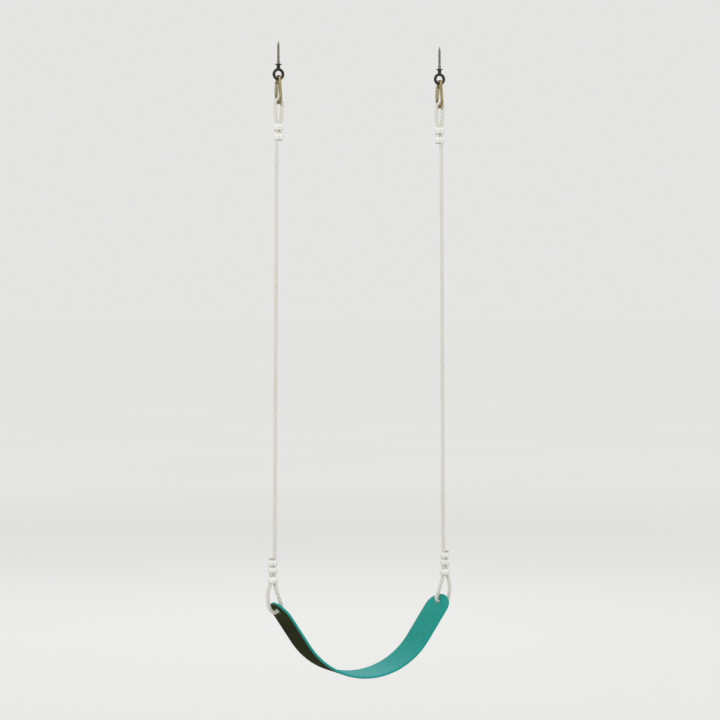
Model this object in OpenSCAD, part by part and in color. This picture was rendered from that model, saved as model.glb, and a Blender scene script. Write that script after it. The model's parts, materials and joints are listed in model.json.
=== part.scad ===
// Belt swing seat: a flexible belt that hangs on two looped ropes from two screw eyes.
// X runs along the beam, Y is the direction of swing, Z is up.
// The origin lies on the beam's underside, midway between the two screw eyes.

/* [Layout] */
// Distance between the two screw eyes, and between the two rope holes in the belt
hang_spacing = 480; // [440:10:520]

/* [Screw eye] */
// Diameter of the screw eye's wire and shank
eye_wire_d = 8; // [7:0.5:8]
// Outside diameter of the ring
eye_ring_d = 34; // [34:1:40]
// Length of the cylindrical shank that goes up into the beam
eye_shank_l = 50; // [30:5:80]
// Length of the pointed tip above the shank
eye_tip_l = 12; // [6:1:16]
// Diameter of the collar that bears on the beam
eye_collar_d = 18; // [14:1:24]
// Thickness of the collar
eye_collar_h = 3; // [2:0.5:4]

/* [Snap hook] */
// Diameter of the hook's wire
hook_wire_d = 8; // [7:0.5:8]
// Outside width of the hook's wide lower bow
hook_width = 40; // [38:1:44]
// Outside width of the hook's narrow upper bow
hook_neck_w = 26; // [25:1:28]

/* [Gate] */
// Width of the gate channel
gate_w = 9; // [8.6:0.2:10]
// Sheet thickness of the gate channel
gate_sheet = 1.2; // [1:0.1:1.2]
// Diameter of the gate rivet's shaft
rivet_d = 3; // [2.5:0.1:3.4]

/* [Rope] */
// Diameter of the rope
rope_d = 11; // [10:0.5:11]

/* [Clamps] */
// Wall of a rope clamp round each rope
clamp_wall = 3; // [2:0.5:4]
// Height of each of the two clamps under the top loop
top_clamp_h = 17; // [12:1:20]
// Height of each of the two clamps above the belt
seat_clamp_h = 14; // [10:1:17]
// Diameter of the bead that gathers the two ropes above the belt
bead_d = 30; // [29:1:34]
// Height of the bead
bead_h = 19; // [16:1:21]

/* [Belt] */
// Width of the belt
belt_w = 130; // [120:5:160]
// Thickness of the belt
belt_t = 7; // [5:0.5:8]
// Radius of the bend at the bottom of the belt
belt_bend_r = 212; // [200:2:220]
// Slope of the belt's straight ends in degrees
belt_slope = 56; // [54:1:58]
// Length of belt beyond each rope hole
belt_tip = 24; // [22:1:30]
// Diameter of each rope hole
belt_hole_d = 14; // [14:0.5:16]

/* [Hidden] */
$fn = 64;
slack = 0.3;      // gap between pieces that rest on each other but move
overlap = 1;      // how far a solid reaches into its neighbour in one piece
reach = 200;      // longer than any piece that it cuts
inset = 0.05;     // a straight stretch is this much thinner than the bend it joins
bite = 0.5;       // and starts this far inside it

// Heights below the beam
half_spacing = hang_spacing / 2;
eye_pivot_z = -41;      // centre of the ring's lowest wire, which the hook swings about
hook_pivot_z = -105;    // centre of the hook's lowest wire, which the rope turns about
top_clamp_z = [-169, -195];
seat_clamp_z = [-1345, -1365];
bead_z = -1392;
hole_z = -1474;         // centre of each rope hole in the belt

// Rope route: [distance outward from the hanging line, height], in the plane of X and Z.
// The tail starts at the top clamps, the rope loops through the hook, drops to the belt,
// passes through the belt's hole from inside to outside and comes back up to the clamps.
strand_x = 5.6;         // half the distance between two ropes side by side in a clamp
seat_strand_x = 18;     // centre of the two ropes in the clamps above the belt
top_loop = [
    [-5.6, -206], [-5.6, -190], [-5.6, -174], [-6, -160], [-8, -144], [-9.4, -128],
    [-9.8, -114], [-9.8, -105], [-8.5, -100], [-5, -96.5], [0, -95.2],
    [5, -96.5], [8.5, -100], [9.8, -105], [9.8, -114],
    [9.4, -128], [8, -144], [6, -160], [5.6, -174], [5.6, -190], [5.6, -206]
];
seat_loop = [
    [12.4, -1332], [12.4, -1350], [12.4, -1368], [12.4, -1384], [12.2, -1397], [10.5, -1408],
    [7.5, -1419], [3.5, -1431], [-1, -1443], [-5, -1454], [-7.8, -1463], [-5.6, -1470],
    [0, -1474], [6, -1478], [12, -1480], [19, -1478], [25, -1472], [29, -1463],
    [31.5, -1451], [32.5, -1438], [31.5, -1424], [28.5, -1411],
    [24.6, -1400], [23.6, -1388], [23.6, -1370], [23.6, -1350], [23.6, -1332]
];
rope_sides = 10;
spline_steps = 2;

// Screw eye
ring_r = (eye_ring_d - eye_wire_d) / 2;
ring_z = eye_pivot_z + ring_r;
neck_d = eye_wire_d + 2;

// Snap hook: two bows joined by two slanting sides. Side lengths are measured downward.
wire_r = hook_wire_d / 2;
side_r = wire_r - inset;
tongue_r = side_r - inset;
neck_r = (hook_neck_w - hook_wire_d) / 2;
bow_r = (hook_width - hook_wire_d) / 2;
neck_z = eye_pivot_z + eye_wire_d / 2 + slack + wire_r - neck_r;
bow_z = hook_pivot_z + bow_r;
bow_gap = neck_z - bow_z;
side_lean = asin((bow_r - neck_r) / bow_gap);
side_l = bow_gap * cos(side_lean);
pivot_s = 10.5;         // from the upper bow's end to the rivet
nose_s = side_l - 5.8;  // where the full wire of the nose ends
tongue_t = 5.8;         // flattened ends of the wire, inside the gate channel
tongue_back = 2.4;      // how far the flattened ends reach towards the inside
tongue_end_r = 3.4;
nose_tongue_l = 6.5;

// Gate channel, measured from the rivet
gate_end_r = hook_wire_d / 2;
gate_l = nose_s - pivot_s - 0.7;
gate_back = hook_wire_d / 2;
gate_web_start = 4.2;
spring_seat = 22.4;
spring_seat_t = 1.2;
spring_start = 4.4;
spring_d = 4.6;
spring_wire_d = 0.8;
spring_turns = 6;
spring_steps = 10;
spring_sides = 6;
rivet_head_d = 5.6;
rivet_head_h = 1.2;
rivet_gap = 0.05;       // radial running clearance in the gate

// Clamps
strand_r = rope_d / 2;
squeeze = 0.1;          // how far a clamp bites into the rope
lobe_r = strand_r + clamp_wall;
lobe_edge = 2.5;

// Belt: a bend between two straight ends, measured along its middle surface
straight_l = (half_spacing - belt_bend_r * sin(belt_slope)) / cos(belt_slope);
bend_z = hole_z - straight_l * sin(belt_slope) + belt_bend_r * cos(belt_slope);
end_l = straight_l + belt_tip;
tip_r = 90;             // the blunt end is a flat arc between two rounded corners
corner_r = 32;
tip_u = end_l - tip_r;
corner_v = belt_w / 2 - corner_r;
corner_u = tip_u + sqrt(pow(tip_r - corner_r, 2) - pow(corner_v, 2));
join_dir = asin(corner_v / (tip_r - corner_r));
arc_steps = 16;

function unit(v) = v / norm(v);

// Point between b and c on a smooth curve through a, b, c and d
function spline(a, b, c, d, t) =
    (2 * b + (c - a) * t + (2 * a - 5 * b + 4 * c - d) * t * t
        + (3 * b - a - 3 * c + d) * t * t * t) / 2;

function smooth(p, steps) = concat(
    [for (i = [0 : len(p) - 2], j = [0 : steps - 1])
        spline(p[max(i - 1, 0)], p[i], p[i + 1], p[min(i + 2, len(p) - 1)], j / steps)],
    [p[len(p) - 1]]);

function tangent(path, i) =
    unit(path[min(i + 1, len(path) - 1)] - path[max(i - 1, 0)]);

function ring(centre, along, up, r, sides) =
    let (u = unit(cross(up, along)), v = cross(along, u))
    [for (k = [0 : sides - 1])
        centre + r * (cos(360 * k / sides) * u + sin(360 * k / sides) * v)];

// Round tube along a path that never runs parallel to up
module tube(path, up, r, sides) {
    count = len(path);
    points = [for (i = [0 : count - 1]) each ring(path[i], tangent(path, i), up, r, sides)];
    walls = [for (i = [0 : count - 2], k = [0 : sides - 1])
        let (a = i * sides + k, b = i * sides + (k + 1) % sides)
        each [[a, a + sides, b + sides], [a, b + sides, b]]];
    first_cap = [for (k = [0 : sides - 1]) k];
    last_cap = [for (k = [sides - 1 : -1 : 0]) (count - 1) * sides + k];
    polyhedron(points, concat([first_cap], walls, [last_cap]));
}

// Rectangle centred on the origin with round corners, from squares and circles
module rounded_rect(w, h, r) {
    square([w - 2 * r, h], center = true);
    square([w, h - 2 * r], center = true);
    for (x = [-1, 1], y = [-1, 1])
        translate([x * (w / 2 - r), y * (h / 2 - r)]) circle(r);
}

// Puts a piece made round x = 0 on its hanging line: side is -1 for left, 1 for right
module on_side(side) {
    if (side < 0) translate([-half_spacing, 0, 0]) mirror([1, 0, 0]) children();
    else translate([half_spacing, 0, 0]) children();
}

module screw_eye() {
    color("#3b3023") {
        translate([0, 0, ring_z]) rotate([90, 0, 0])
            rotate_extrude() translate([ring_r, 0]) circle(d = eye_wire_d);
        translate([0, 0, ring_z + ring_r]) cylinder(h = -ring_z - ring_r, d = neck_d);
        translate([0, 0, -eye_collar_h]) cylinder(h = eye_collar_h, d = eye_collar_d);
        translate([0, 0, -overlap]) cylinder(h = eye_shank_l + overlap, d = eye_wire_d);
        translate([0, 0, eye_shank_l]) cylinder(h = eye_tip_l, d1 = eye_wire_d, d2 = 1);
    }
}

// Arc of wire in the plane of Y and Z, from one angle to another, 0 is +Y and 90 is up
module wire_arc(z, r, from, to) {
    translate([0, 0, z]) rotate([90, 0, 90]) rotate([0, 0, from])
        rotate_extrude(angle = to - from) translate([r, 0]) circle(wire_r);
}

// Frame on the gate side of the hook: local Z runs down the side, local Y points outward
module side_frame(s) {
    translate([0, neck_r * cos(side_lean), neck_z + neck_r * sin(side_lean)])
        rotate([side_lean, 0, 0]) mirror([0, 0, 1]) translate([0, 0, s]) children();
}

// Flattened wire, open to the outside, from the frame's origin down
module tongue(l) {
    intersection() {
        cylinder(h = l, r = tongue_r);
        translate([-tongue_t / 2, -tongue_back, 0]) cube([tongue_t, reach, l]);
    }
}

module cross_hole(r) {
    rotate([0, 90, 0]) cylinder(h = reach, r = r, center = true);
}

module snap_hook() {
    pivot_wire_l = pivot_s - gate_end_r - 0.6;
    color("#8a7a4a") difference() {
        union() {
            wire_arc(neck_z, neck_r, side_lean, 180 - side_lean);
            wire_arc(bow_z, bow_r, 180 - side_lean, 360 + side_lean);
            mirror([0, 1, 0]) side_frame(-bite)
                cylinder(h = side_l + 2 * bite, r = side_r);
            side_frame(-bite) cylinder(h = pivot_wire_l + bite, r = side_r);
            side_frame(pivot_wire_l - overlap) tongue(pivot_s - pivot_wire_l + overlap);
            side_frame(pivot_s) rotate([0, 90, 0])
                cylinder(h = tongue_t, r = tongue_end_r, center = true);
            side_frame(nose_s) cylinder(h = side_l - nose_s + bite, r = side_r);
            side_frame(nose_s - nose_tongue_l) tongue(nose_tongue_l + overlap);
        }
        side_frame(pivot_s) cross_hole(rivet_d / 2 + rivet_gap / 2);
    }
}

module gate() {
    inner_w = gate_w - 2 * gate_sheet;
    color("#9a8c60") side_frame(pivot_s) {
        difference() {
            union() {
                translate([-gate_w / 2, -gate_back, 0]) cube([gate_w, 2 * gate_back, gate_l]);
                rotate([0, 90, 0]) cylinder(h = gate_w, r = gate_end_r, center = true);
            }
            translate([-inner_w / 2, gate_sheet - gate_back, -gate_end_r - overlap])
                cube([inner_w, reach, reach]);
            translate([-inner_w / 2, -gate_back - overlap, -gate_end_r - overlap])
                cube([inner_w, reach, gate_end_r + gate_web_start + overlap]);
            cross_hole(rivet_d / 2 + rivet_gap);
        }
        translate([-inner_w / 2 - gate_sheet / 2, gate_sheet / 2 - gate_back, spring_seat])
            cube([inner_w + gate_sheet, gate_back + tongue_back, spring_seat_t]);
    }
}

module gate_rivet() {
    head_x = gate_w / 2 + slack;
    color("#b0a57c") side_frame(pivot_s) rotate([0, 90, 0]) {
        cylinder(h = 2 * head_x + overlap, d = rivet_d, center = true);
        for (end = [0, 1]) mirror([0, 0, end]) translate([0, 0, head_x])
            cylinder(h = rivet_head_h, d1 = rivet_head_d, d2 = rivet_head_d * 0.7);
    }
}

module gate_spring() {
    coil_r = (spring_d - spring_wire_d) / 2;
    spring_l = spring_seat - spring_start - spring_wire_d - slack;
    steps = spring_turns * spring_steps;
    coil = [for (i = [0 : steps])
        let (a = 360 * i / spring_steps)
        [coil_r * cos(a), coil_r * sin(a), spring_l * i / steps]];
    color("silver") side_frame(pivot_s + spring_start + spring_wire_d / 2)
        translate([0, slack, 0]) tube(coil, [0, 0, 1], spring_wire_d / 2, spring_sides);
}

module rope() {
    route = concat(smooth(top_loop, spline_steps), smooth(seat_loop, spline_steps));
    color("#dfddd1")
        tube([for (p = route) [p[0], 0, p[1]]], [0, 1, 0], strand_r, rope_sides);
}

// Two round lobes side by side, one round each rope
module clamp(x, z, h) {
    color("#f4f2ea") translate([x, 0, z]) difference() {
        union() {
            for (side = [-1, 1]) translate([side * strand_x, 0, 0]) rotate_extrude() {
                intersection() {
                    rounded_rect(2 * lobe_r, h, lobe_edge);
                    translate([0, -h / 2]) square([lobe_r, h]);
                }
            }
            cube([2 * strand_x, lobe_r, h - 2 * lobe_edge], center = true);
        }
        strand_holes();
    }
}

module strand_holes() {
    for (side = [-1, 1]) translate([side * strand_x, 0, 0])
        cylinder(h = reach, r = strand_r - squeeze, center = true);
}

module bead() {
    color("#f4f2ea") translate([seat_strand_x, 0, bead_z]) difference() {
        rotate_extrude() {
            translate([bead_d / 2 - bead_h / 2, 0]) intersection() {
                circle(d = bead_h);
                translate([-overlap, -bead_h / 2]) square([bead_h, bead_h]);
            }
            translate([0, -bead_h / 2]) square([bead_d / 2 - bead_h / 2, bead_h]);
        }
        strand_holes();
    }
}

function heading(a) = [cos(a), sin(a)];

// Points on an arc, without its first one
function arc(centre, radius, from, to) = [
    for (i = [1 : arc_steps]) centre + radius * heading(from + (to - from) * i / arc_steps)
];

// Outline of a straight end: u runs outward along the belt, the bend is at u = 0
module end_outline() {
    upper = concat(
        [[-bite, belt_w / 2 - inset], [corner_u, belt_w / 2 - inset]],
        arc([corner_u, corner_v], corner_r - inset, 90, join_dir),
        arc([tip_u, 0], tip_r - inset, join_dir, 0)
    );
    last = len(upper) - 1;
    polygon(concat(upper, [for (i = [last - 1 : -1 : 0]) [upper[i][0], -upper[i][1]]]));
}

// The straight end on the right, with its frame's X along the belt and Z through it
module belt_end() {
    translate([belt_bend_r * sin(belt_slope), 0, bend_z - belt_bend_r * cos(belt_slope)])
        rotate([0, -belt_slope, 0]) difference() {
            translate([0, 0, inset - belt_t / 2])
                linear_extrude(belt_t - 2 * inset) end_outline();
            translate([straight_l, 0, 0]) cylinder(h = reach, d = belt_hole_d, center = true);
        }
}

module belt() {
    color("#1c9b8f") {
        translate([0, 0, bend_z]) rotate([90, 0, 0]) rotate([0, 0, -90 - belt_slope])
            rotate_extrude(angle = 2 * belt_slope)
                translate([belt_bend_r, 0]) square([belt_t, belt_w], center = true);
        belt_end();
        mirror([1, 0, 0]) belt_end();
    }
}

on_side(-1) screw_eye();  // left_screw_eye
on_side(-1) snap_hook();  // left_snap_hook
on_side(-1) gate();  // left_gate
on_side(-1) gate_rivet();  // left_gate_rivet
on_side(-1) gate_spring();  // left_gate_spring
on_side(-1) rope();  // left_rope
on_side(-1) clamp(0, top_clamp_z[0], top_clamp_h);  // left_top_clamp_upper
on_side(-1) clamp(0, top_clamp_z[1], top_clamp_h);  // left_top_clamp_lower
on_side(-1) clamp(seat_strand_x, seat_clamp_z[0], seat_clamp_h);  // left_seat_clamp_upper
on_side(-1) clamp(seat_strand_x, seat_clamp_z[1], seat_clamp_h);  // left_seat_clamp_lower
on_side(-1) bead();  // left_seat_bead
on_side(1) screw_eye();  // right_screw_eye
on_side(1) snap_hook();  // right_snap_hook
on_side(1) gate();  // right_gate
on_side(1) gate_rivet();  // right_gate_rivet
on_side(1) gate_spring();  // right_gate_spring
on_side(1) rope();  // right_rope
on_side(1) clamp(0, top_clamp_z[0], top_clamp_h);  // right_top_clamp_upper
on_side(1) clamp(0, top_clamp_z[1], top_clamp_h);  // right_top_clamp_lower
on_side(1) clamp(seat_strand_x, seat_clamp_z[0], seat_clamp_h);  // right_seat_clamp_upper
on_side(1) clamp(seat_strand_x, seat_clamp_z[1], seat_clamp_h);  // right_seat_clamp_lower
on_side(1) bead();  // right_seat_bead
belt();
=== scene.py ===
"""Looks of the belt swing seat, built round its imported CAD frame. Metres, X along the beam, Z up."""

import json
import math

import bmesh
import bpy
import numpy as np
from mathutils import Matrix, Vector


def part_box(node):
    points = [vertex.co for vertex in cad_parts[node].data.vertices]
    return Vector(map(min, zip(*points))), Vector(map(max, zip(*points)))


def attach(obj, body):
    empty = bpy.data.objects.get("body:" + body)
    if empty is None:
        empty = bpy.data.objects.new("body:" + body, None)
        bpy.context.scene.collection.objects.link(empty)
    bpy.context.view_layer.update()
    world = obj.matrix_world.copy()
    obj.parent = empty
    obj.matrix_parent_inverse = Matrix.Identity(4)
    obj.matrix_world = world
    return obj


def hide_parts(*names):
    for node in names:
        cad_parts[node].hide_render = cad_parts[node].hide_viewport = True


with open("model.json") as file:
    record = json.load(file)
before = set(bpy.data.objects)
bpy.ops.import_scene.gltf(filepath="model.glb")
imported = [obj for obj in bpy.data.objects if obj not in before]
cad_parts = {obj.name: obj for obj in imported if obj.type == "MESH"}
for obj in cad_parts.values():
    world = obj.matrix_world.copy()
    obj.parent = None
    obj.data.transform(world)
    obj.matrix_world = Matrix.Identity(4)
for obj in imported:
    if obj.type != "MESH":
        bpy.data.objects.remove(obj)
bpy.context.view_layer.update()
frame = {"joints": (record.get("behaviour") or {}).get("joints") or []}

SIDES = {"left": -1, "right": 1}


def centre_of(node):
    lo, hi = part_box(node)
    return (lo + hi) / 2


# ---------------------------------------------------------------- sizes shared with the CAD frame

HALF_SPACING = centre_of("right_screw_eye").x
PIVOTS = {joint["name"]: Vector(joint["pos_m"]) for joint in frame["joints"]}
EYE_PIVOT_Z = PIVOTS["left_swing"].z
HOOK_PIVOT_Z = PIVOTS["left_sway"].z
HOLE_Z = PIVOTS["belt_level"].z

ROPE_D = 0.011
# The rope's route: (distance outward from the hanging line, height). It starts at the tail's end
# under the top clamps, loops through the hook, drops to the belt, passes through its hole and
# ends above the clamps over the belt.
ROPE_ROUTE = [
    [
        (-0.0056, -0.206), (-0.0056, -0.190), (-0.0056, -0.174), (-0.006, -0.160),
        (-0.008, -0.144), (-0.0094, -0.128), (-0.0098, -0.114), (-0.0098, -0.105),
        (-0.0085, -0.100), (-0.005, -0.0965), (0.0, -0.0952), (0.005, -0.0965),
        (0.0085, -0.100), (0.0098, -0.105), (0.0098, -0.114), (0.0094, -0.128),
        (0.008, -0.144), (0.006, -0.160), (0.0056, -0.174), (0.0056, -0.190), (0.0056, -0.206),
    ],
    [
        (0.0124, -1.332), (0.0124, -1.350), (0.0124, -1.368), (0.0124, -1.384),
        (0.0122, -1.397), (0.0105, -1.408), (0.0075, -1.419), (0.0035, -1.431),
        (-0.001, -1.443), (-0.005, -1.454), (-0.0078, -1.463), (-0.0056, -1.470),
        (0.0, -1.474), (0.006, -1.478), (0.012, -1.480), (0.019, -1.478), (0.025, -1.472),
        (0.029, -1.463), (0.0315, -1.451), (0.0325, -1.438), (0.0315, -1.424),
        (0.0285, -1.411), (0.0246, -1.400), (0.0236, -1.388), (0.0236, -1.370),
        (0.0236, -1.350), (0.0236, -1.332),
    ],
]
STRAND_X = 0.0056            # half the distance between two ropes in one clamp
BORE_R = ROPE_D / 2 - 0.0001 # a clamp squeezes its ropes a little
SLACK = 0.0003               # gap between pieces that rest on each other but move

EYE_WIRE_R = 0.004
EYE_RING_R = 0.013
EYE_COLLAR_R = 0.009
EYE_COLLAR_H = 0.003
EYE_NECK_R = 0.005
EYE_TOP_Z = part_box("right_screw_eye")[1].z
EYE_TIP_L = 0.013

WIRE_R = 0.004
NECK_R = 0.009
BOW_R = 0.016
NECK_Z = EYE_PIVOT_Z + EYE_WIRE_R + SLACK + WIRE_R - NECK_R
BOW_Z = HOOK_PIVOT_Z + BOW_R
LEAN = math.asin((BOW_R - NECK_R) / (NECK_Z - BOW_Z))
SIDE_L = (NECK_Z - BOW_Z) * math.cos(LEAN)
PIVOT_S = 0.0105
NOSE_S = SIDE_L - 0.0058
TONGUE_HALF = 0.0029
TONGUE_BACK = 0.0024
TONGUE_END_R = 0.0034
NOSE_TONGUE_L = 0.0065

GATE_W = 0.009
GATE_SHEET = 0.0012
GATE_BACK = 0.004
GATE_L = NOSE_S - PIVOT_S - 0.0007
GATE_WEB_START = 0.0042
SPRING_SEAT = 0.0224
SPRING_SEAT_T = 0.0012
SPRING_START = 0.0044
SPRING_R = 0.0019
SPRING_WIRE_R = 0.0004
SPRING_TURNS = 6
RIVET_R = 0.0015
RIVET_HEAD_R = 0.0028
RIVET_HEAD_H = 0.0012

BELT_W = 0.130
BELT_BEND_R = 0.212
BELT_SLOPE = math.radians(56)
BELT_TIP = 0.024
BELT_HOLE_R = 0.007
STRAIGHT_L = (HALF_SPACING - BELT_BEND_R * math.sin(BELT_SLOPE)) / math.cos(BELT_SLOPE)
BEND_Z = HOLE_Z - STRAIGHT_L * math.sin(BELT_SLOPE) + BELT_BEND_R * math.cos(BELT_SLOPE)
BEND_S = BELT_BEND_R * BELT_SLOPE
TIP_R = 0.090
TIP_U = STRAIGHT_L + BELT_TIP - TIP_R
CORNER_R = 0.032
CORNER_V = BELT_W / 2 - CORNER_R
CORNER_U = TIP_U + math.sqrt((TIP_R - CORNER_R) ** 2 - CORNER_V**2)
JOIN_DIR = math.degrees(math.asin(CORNER_V / (TIP_R - CORNER_R)))

# Painted shade: the near-black olive given to the belt's underside and the lower half of its edges
BELT_PAINTED_SHADE = (0.006, 0.007, 0.001)

FLOOR_Z = -2.015             # the ground under the playset's beam
FLOOR_R = 80

CAMERA_AZIMUTH = math.radians(-23.9)
CAMERA_DISTANCE = 7.65
CAMERA_Z = -0.565
CAMERA_TARGET = (0, 0, -0.80)

# Each lamp: name, place, diameter, power, colour
LAMPS = [
    ("key", (-3.4, -4.2, 3.4), 1.6, 120, (1.0, 0.98, 0.95)),
    ("fill", (4.6, -3.0, 1.2), 3.0, 30, (0.95, 0.98, 1.0)),
    ("back", (1.5, 4.5, 2.8), 2.4, 60, (1.0, 1.0, 1.0)),
]
LAMP_TARGET = (0, 0, -0.8)
HORIZON_LIGHT = 0.78         # strength of the surroundings near the horizon and overhead
OVERHEAD_LIGHT = 0.95


# ---------------------------------------------------------------- camera, light and floor

def look_at(obj, target):
    obj.rotation_euler = (Vector(target) - obj.location).to_track_quat("-Z", "Y").to_euler()


def add_camera():
    camera = bpy.data.objects.new("camera", bpy.data.cameras.new("camera"))
    bpy.context.scene.collection.objects.link(camera)
    camera.data.lens = 140
    camera.data.sensor_width = 36
    camera.data.clip_end = 100
    camera.location = (CAMERA_DISTANCE * math.sin(CAMERA_AZIMUTH),
                       -CAMERA_DISTANCE * math.cos(CAMERA_AZIMUTH), CAMERA_Z)
    look_at(camera, CAMERA_TARGET)
    bpy.context.scene.camera = camera


def add_light(name, place, size, power, colour):
    light = bpy.data.objects.new(name, bpy.data.lights.new(name, "AREA"))
    bpy.context.scene.collection.objects.link(light)
    light.data.shape = "DISK"
    light.data.size = size
    light.data.energy = power
    light.data.color = colour
    light.location = place
    light.visible_camera = False
    look_at(light, LAMP_TARGET)


def add_lights():
    """The lamps, and surroundings that are a little brighter overhead than at the horizon."""
    for lamp in LAMPS:
        add_light(*lamp)
    world = bpy.data.worlds.new("studio")
    world.use_nodes = True
    tree = world.node_tree
    place = tree.nodes.new("ShaderNodeTexCoord")
    height = tree.nodes.new("ShaderNodeSeparateXYZ")
    tone = tree.nodes.new("ShaderNodeMapRange")
    tone.interpolation_type = "SMOOTHSTEP"
    for socket, value in (("From Min", 0.15), ("From Max", 0.9),
                          ("To Min", HORIZON_LIGHT), ("To Max", OVERHEAD_LIGHT)):
        tone.inputs[socket].default_value = value
    tree.links.new(place.outputs["Generated"], height.inputs[0])
    tree.links.new(height.outputs[2], tone.inputs["Value"])
    tree.links.new(tone.outputs[0], tree.nodes["Background"].inputs["Strength"])
    tree.nodes["Background"].inputs["Color"].default_value = (1.0, 1.0, 0.99, 1)
    bpy.context.scene.world = world


def add_floor():
    """A wide pale floor that runs out to a horizon of the same tone."""
    verts, faces = lathe([(0.0, 0.0)] + [(r, 0.0) for r in (2, 5, 10, 20, 40, FLOOR_R)], 96)
    floor = make_mesh("floor", [(x, y, z + FLOOR_Z) for x, y, z in verts], faces, floor_paint())


# ---------------------------------------------------------------- mesh helpers

WELD = 1e-7                  # points closer than this are one point


def make_mesh(name, verts, faces, material, uv=None, values=None, sharp=None):
    """A mesh object with outward normals. uv and values hold one row for each vertex."""
    mesh = bpy.data.meshes.new(name)
    mesh.from_pydata([tuple(float(c) for c in v) for v in verts], [], faces)
    for key, column in (values or {}).items():
        attribute = mesh.attributes.new(key, "FLOAT", "POINT")
        attribute.data.foreach_set("value", np.array(column, np.float32))
    if uv is not None:
        set_uv(mesh, np.array(uv, float))
    bm = bmesh.new()
    bm.from_mesh(mesh)
    bmesh.ops.remove_doubles(bm, verts=bm.verts, dist=WELD)
    bmesh.ops.recalc_face_normals(bm, faces=bm.faces)
    bm.to_mesh(mesh)
    bm.free()
    smooth(mesh, sharp)
    mesh.materials.append(material)
    obj = bpy.data.objects.new(name, mesh)
    bpy.context.scene.collection.objects.link(obj)
    return obj


def set_uv(mesh, uv):
    """uv for each vertex. A u that jumps by more than half across a face is wrapped round."""
    layer = mesh.uv_layers.new(name="UVMap")
    corners = np.zeros(len(mesh.loops), np.int32)
    mesh.loops.foreach_get("vertex_index", corners)
    picked = uv[corners]
    starts = np.array([p.loop_start for p in mesh.polygons])
    sizes = np.array([p.loop_total for p in mesh.polygons])
    first = np.repeat(picked[starts, 0], sizes)
    jump = picked[:, 0] - first
    picked[:, 0] -= np.round(jump)
    layer.data.foreach_set("uv", picked.astype(np.float32).ravel())


def smooth(mesh, sharp):
    mesh.polygons.foreach_set("use_smooth", [True] * len(mesh.polygons))
    if sharp is not None:
        mesh.set_sharp_from_angle(angle=math.radians(sharp))


def applied(obj, sharp=None):
    """Puts the result of an object's modifiers into its own mesh."""
    bpy.context.view_layer.update()
    graph = bpy.context.evaluated_depsgraph_get()
    mesh = bpy.data.meshes.new_from_object(obj.evaluated_get(graph))
    obj.modifiers.clear()
    obj.data = mesh
    smooth(mesh, sharp)
    return obj


def cut(obj, tool, operation="DIFFERENCE"):
    """Cuts one closed piece with another, and collapses the slivers that this can leave."""
    change = obj.modifiers.new("cut", "BOOLEAN")
    change.operation = operation
    change.solver = "EXACT"
    change.object = tool
    applied(obj)
    bpy.data.objects.remove(tool)
    bm = bmesh.new()
    bm.from_mesh(obj.data)
    bmesh.ops.dissolve_degenerate(bm, dist=WELD, edges=bm.edges)
    bm.to_mesh(obj.data)
    bm.free()
    return obj


def soften(obj, width, segments=2, angle=35):
    bevel = obj.modifiers.new("bevel", "BEVEL")
    bevel.width = width
    bevel.segments = segments
    bevel.limit_method = "ANGLE"
    bevel.angle_limit = math.radians(angle)
    bevel.use_clamp_overlap = True
    return applied(obj, sharp=50)


def lathe(profile, segments, closed=False):
    """Verts and faces of a profile of (radius, height) turned round Z. A radius of 0 is a pole."""
    verts, rows, faces = [], [], []
    for r, z in profile:
        if r == 0:
            verts.append((0.0, 0.0, z))
            rows.append([len(verts) - 1] * segments)
            continue
        start = len(verts)
        for k in range(segments):
            a = 2 * math.pi * k / segments
            verts.append((r * math.cos(a), r * math.sin(a), z))
        rows.append(list(range(start, start + segments)))
    pairs = list(zip(rows, rows[1:]))
    if closed:
        pairs.append((rows[-1], rows[0]))
    for low, high in pairs:
        for k in range(segments):
            n = (k + 1) % segments
            face = [low[k], low[n], high[n], high[k]]
            faces.append(tuple(dict.fromkeys(face)))
    return verts, faces


def tube_faces(rings, sides):
    faces = [tuple(reversed(range(sides)))]
    for i in range(rings - 1):
        for k in range(sides):
            n = (k + 1) % sides
            faces.append((i * sides + k, i * sides + n, (i + 1) * sides + n, (i + 1) * sides + k))
    faces.append(tuple((rings - 1) * sides + k for k in range(sides)))
    return faces


def curve_through(points, steps):
    """Catmull-Rom curve through the points."""
    p = np.array(points, float)
    before = p[np.maximum(np.arange(len(p) - 1) - 1, 0)]
    after = p[np.minimum(np.arange(len(p) - 1) + 2, len(p) - 1)]
    out = []
    for a, b, c, d in zip(before, p[:-1], p[1:], after):
        for t in np.arange(steps) / steps:
            out.append((2 * b + (c - a) * t + (2 * a - 5 * b + 4 * c - d) * t**2
                        + (3 * b - a - 3 * c + d) * t**3) / 2)
    out.append(p[-1])
    return np.array(out)


def lengths_along(line):
    return np.concatenate([[0], np.cumsum(np.linalg.norm(np.diff(line, axis=0), axis=1))])


def points_at(line, at):
    along = lengths_along(line)
    return np.stack([np.interp(at, along, line[:, k]) for k in range(3)], axis=1)


def tangents(line):
    t = np.gradient(line, axis=0)
    return t / np.linalg.norm(t, axis=1)[:, None]


def smoothstep(x):
    x = np.clip(x, 0, 1)
    return x * x * (3 - 2 * x)


def placed(obj, x, z=0.0):
    obj.data.transform(Matrix.Translation((x, 0, z)))
    return obj


def join(name, parts):
    """One mesh object out of several closed ones that keep their materials."""
    bm = bmesh.new()
    materials = []
    for part in parts:
        for m in part.data.materials:
            if m not in materials:
                materials.append(m)
    for part in parts:
        mesh = part.data.copy()
        index = [materials.index(m) for m in mesh.materials]
        for polygon in mesh.polygons:
            polygon.material_index = index[polygon.material_index]
        bm.from_mesh(mesh)
        bpy.data.meshes.remove(mesh)
        bpy.data.objects.remove(part)
    mesh = bpy.data.meshes.new(name)
    bm.to_mesh(mesh)
    bm.free()
    for m in materials:
        mesh.materials.append(m)
    obj = bpy.data.objects.new(name, mesh)
    bpy.context.scene.collection.objects.link(obj)
    return obj


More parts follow.
